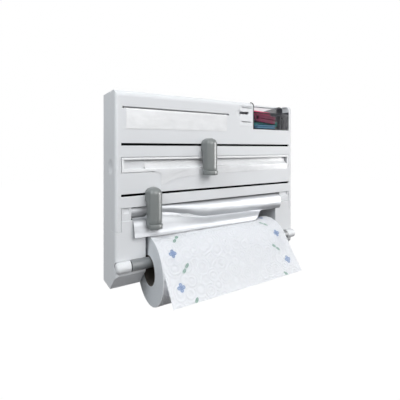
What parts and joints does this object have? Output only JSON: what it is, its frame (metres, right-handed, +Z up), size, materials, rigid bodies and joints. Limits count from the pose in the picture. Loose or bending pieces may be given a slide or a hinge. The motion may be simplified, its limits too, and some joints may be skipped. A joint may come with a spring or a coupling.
{
  "type": "wall-mounted kitchen roll holder",
  "caption": "Wall unit that holds a kitchen roll on a spindle and dispenses foil, film and freezer bags through a hinged front with sliding cutters and a clip tray.",
  "frame": {"origin": "middle of the four wall-screw holes, on the back face that lies on the wall", "axes": "+X to the right as seen from the front, +Y into the wall, +Z up"},
  "size_m": [0.36, 0.1471, 0.3185],
  "materials": {
    "casing": "fine moulded grain",
    "white_trim": "satin",
    "black_rail": "matt",
    "knob_grey": "satin",
    "spindle_grey": "satin",
    "steel": "brushed",
    "foil": "bright rolled foil",
    "cling_film": "clear glossy film",
    "bag_film": "milky crumpled film",
    "smoked_tray": "smoked transparent",
    "clip_red": "glossy",
    "clip_plum": "glossy",
    "clip_teal": "glossy",
    "clip_blue": "glossy",
    "clip_black": "glossy",
    "dark_wire": "coated wire",
    "card": "plain card",
    "paper": "embossed tissue with a printed border"
  },
  "bodies": {
    "housing": {"rear_housing": "casing", "lower_front": "casing", "assembly_screws": "steel", "hinge_pins": "steel", "film_trough": "casing", "foil_trough": "casing", "foil_sheet": "foil"},
    "cover": {"front_cover": "casing", "window_frame": "white_trim", "upper_rail": "black_rail", "lower_rail": "black_rail", "bag_pocket": "white_trim", "bag_pack": "bag_film", "hanging_bag": "bag_film", "tie_plate": "white_trim", "film_sheet": "cling_film"},
    "upper_cutter": {"upper_knob": "knob_grey", "upper_shoe": "black_rail", "upper_blade": "steel", "upper_screw": "steel"},
    "lower_cutter": {"lower_knob": "knob_grey", "lower_shoe": "black_rail", "lower_blade": "steel", "lower_screw": "steel"},
    "tray": {"clip_tray": "smoked_tray", "red_clip": "clip_red", "plum_clip": "clip_plum", "teal_clip": "clip_teal", "blue_clip": "clip_blue", "black_clip": "clip_black", "wire_tie": "dark_wire"},
    "film": {"film_core": "card", "film_roll": "cling_film"},
    "foil": {"foil_core": "card", "foil_roll": "foil"},
    "spindle": {"left_cap": "white_trim", "right_cap": "white_trim", "spindle_rod": "steel", "paper_sheet": "paper"},
    "tube": {"spindle_tube": "spindle_grey", "tube_bushes": "black_rail"},
    "kitchen_roll": {"roll_core": "card", "paper_roll": "paper"}
  },
  "joints": [
    {"name": "cover_hinge", "type": "hinge", "parent": "housing", "child": "cover", "pos_m": [0, -0.0463, 0.124], "axis": [-1, 0, 0], "range_deg": [0, 90]},
    {"name": "upper_cutter_slide", "type": "slide", "parent": "cover", "child": "upper_cutter", "axis": [1, 0, 0], "range_m": [-0.1325, 0.1875]},
    {"name": "lower_cutter_slide", "type": "slide", "parent": "cover", "child": "lower_cutter", "axis": [1, 0, 0], "range_m": [-0.0345, 0.2855]},
    {"name": "clip_tray_pull", "type": "slide", "parent": "cover", "child": "tray", "axis": [0, -1, 0], "range_m": [0, 0.05]},
    {"name": "film_roll_spin", "type": "hinge", "parent": "housing", "child": "film", "pos_m": [0, -0.04, 0.0273], "axis": [1, 0, 0], "continuous": true},
    {"name": "foil_roll_spin", "type": "hinge", "parent": "housing", "child": "foil", "pos_m": [0, -0.044, -0.05], "axis": [1, 0, 0], "continuous": true},
    {"name": "spindle_pull", "type": "slide", "parent": "housing", "child": "spindle", "axis": [0, -1, 0], "range_m": [0, 0.08]},
    {"name": "spindle_tube_spin", "type": "hinge", "parent": "spindle", "child": "tube", "pos_m": [0, -0.067, -0.1245], "axis": [1, 0, 0], "continuous": true},
    {"name": "kitchen_roll_spin", "type": "hinge", "parent": "spindle", "child": "kitchen_roll", "pos_m": [0, -0.067, -0.1367], "axis": [1, 0, 0], "continuous": true}
  ]
}
